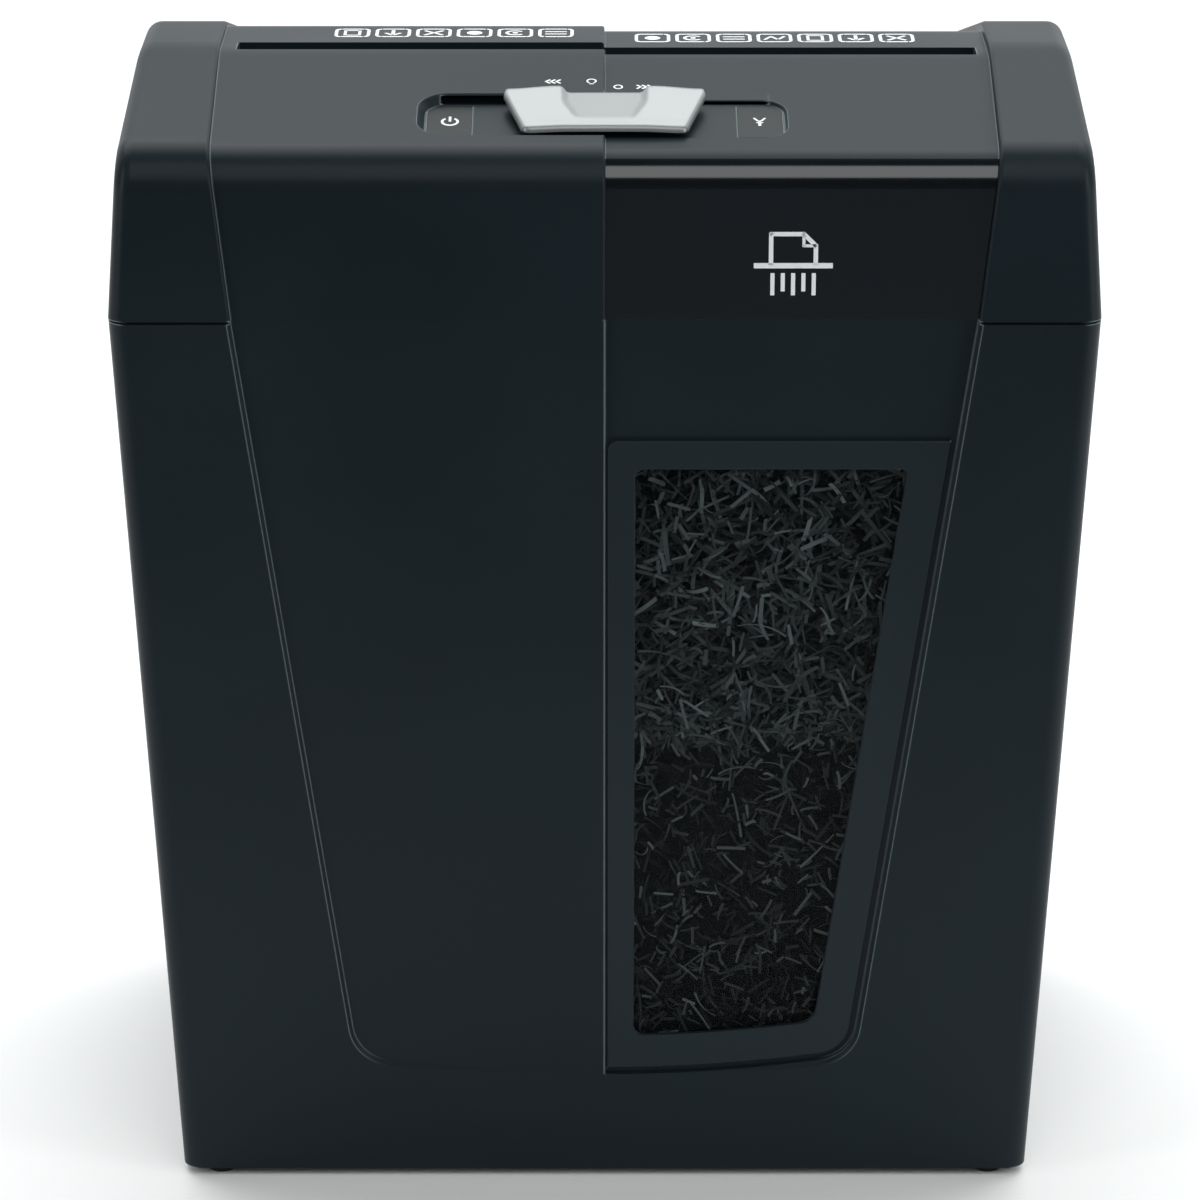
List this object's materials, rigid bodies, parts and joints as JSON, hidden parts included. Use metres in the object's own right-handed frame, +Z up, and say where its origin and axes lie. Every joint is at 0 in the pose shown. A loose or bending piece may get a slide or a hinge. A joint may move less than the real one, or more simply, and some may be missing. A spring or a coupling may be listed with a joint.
{
  "type": "paper shredder",
  "caption": "Compact cross-cut paper shredder: a lift-off cutting head with a sliding thumb switch on a tapered waste bin with a smoked window.",
  "frame": {"origin": "middle of the footprint, on the floor under the feet", "axes": "+Z up, the front with the window faces -Y, +X to the right as seen from the front"},
  "size_m": [0.29, 0.2, 0.3463],
  "materials": {
    "black_shell": "fine satin grain",
    "window_trim": "satin",
    "gloss_black": "polished",
    "smoked_pane": "clear, lightly smoked",
    "foot_rubber": "matt",
    "silver_lever": "silver lacquer, satin",
    "lens_grey": "satin",
    "inner_black": "moulded",
    "plate_steel": "zinc plated",
    "cutter_steel": "ground and oiled",
    "screw_steel": "zinc plated",
    "bush_bronze": "sintered",
    "gear_steel": "sintered",
    "gear_plastic": "moulded",
    "magnet_ferrite": "ferrite",
    "rotor_iron": "laminated",
    "board_green": "solder mask",
    "component_plastic": "moulded",
    "led_glass": "diffuse"
  },
  "bodies": {
    "bin": {"bin_shell": "black_shell", "window_frame": "window_trim", "window_pane": "smoked_pane", "rubber_feet": "foot_rubber"},
    "head": {"head_cover": "black_shell", "gloss_fascia": "gloss_black", "indicator_lenses": "lens_grey", "head_base": "inner_black", "feed_chute": "inner_black", "cord_gland": "foot_rubber", "cover_screws": "screw_steel", "selector_switch": "inner_black", "switch_board": "board_green", "switch_board_screws": "screw_steel", "status_leds": "led_glass", "side_plate_left": "plate_steel", "side_plate_right": "plate_steel", "tie_rods": "plate_steel", "plate_screws": "screw_steel", "shaft_bushes": "bush_bronze", "front_stripper_plates": "plate_steel", "rear_stripper_plates": "plate_steel", "idler_pins": "screw_steel", "retaining_clips": "screw_steel", "motor_can": "plate_steel", "motor_magnets": "magnet_ferrite", "motor_end_cap": "inner_black", "motor_screws": "screw_steel", "flag_pin": "screw_steel", "feed_switch": "inner_black", "plunger_spring": "screw_steel", "interlock_switch": "inner_black", "control_board": "board_green", "board_components": "component_plastic", "terminal_block": "component_plastic", "board_screws": "screw_steel"},
    "selector": {"selector_lever": "silver_lever", "selector_carriage": "inner_black"},
    "front_cutter": {"front_cutter_shaft": "cutter_steel", "front_cutter_discs": "cutter_steel", "front_spacers": "cutter_steel", "front_sync_gear": "gear_steel"},
    "rear_cutter": {"rear_cutter_shaft": "cutter_steel", "rear_cutter_discs": "cutter_steel", "rear_spacers": "cutter_steel", "rear_sync_gear": "gear_steel", "final_gear": "gear_steel"},
    "second_idler_gear": {"second_idler": "gear_plastic"},
    "first_idler_gear": {"first_idler": "gear_plastic"},
    "rotor": {"motor_rotor": "rotor_iron", "motor_pinion": "gear_steel"},
    "flag": {"feed_flag": "inner_black"},
    "plunger": {"interlock_plunger": "inner_black"}
  },
  "joints": [
    {"name": "head_lift", "type": "slide", "parent": "bin", "child": "head", "axis": [0, 0, 1], "range_m": [0, 0.12]},
    {"name": "selector_slide", "type": "slide", "parent": "head", "child": "selector", "axis": [1, 0, 0], "range_m": [-0.008, 0.008]},
    {"name": "rear_cutter_spin", "type": "hinge", "parent": "head", "child": "rear_cutter", "pos_m": [0.12, -0.003, 0.288], "axis": [1, 0, 0], "continuous": true},
    {"name": "front_cutter_spin", "type": "hinge", "parent": "head", "child": "front_cutter", "pos_m": [0.12, -0.037, 0.288], "axis": [1, 0, 0], "continuous": true},
    {"name": "second_idler_spin", "type": "hinge", "parent": "head", "child": "second_idler_gear", "pos_m": [0.12, 0.02963, 0.30321], "axis": [1, 0, 0], "continuous": true},
    {"name": "first_idler_spin", "type": "hinge", "parent": "head", "child": "first_idler_gear", "pos_m": [0.12, 0.05215, 0.28744], "axis": [1, 0, 0], "continuous": true},
    {"name": "rotor_spin", "type": "hinge", "parent": "head", "child": "rotor", "pos_m": [0.12, 0.07222, 0.30149], "axis": [1, 0, 0], "continuous": true},
    {"name": "feed_flag_swing", "type": "hinge", "parent": "head", "child": "flag", "pos_m": [0, -0.0064, 0.322], "axis": [1, 0, 0], "range_deg": [0, 25], "stiffness_Nm_per_rad": 0.004, "springref_deg": -20.05},
    {"name": "plunger_slide", "type": "slide", "parent": "head", "child": "plunger", "axis": [0, 0, -1], "range_m": [0, 0.003]}
  ],
  "couplings": [
    {"joint": "first_idler_spin", "follows": "rotor_spin", "ratio": -0.16667},
    {"joint": "second_idler_spin", "follows": "rotor_spin", "ratio": 0.041667},
    {"joint": "rear_cutter_spin", "follows": "rotor_spin", "ratio": -0.013889},
    {"joint": "front_cutter_spin", "follows": "rotor_spin", "ratio": 0.013889},
    {"joint": "plunger_slide", "follows": "head_lift", "ratio": 0.025}
  ]
}
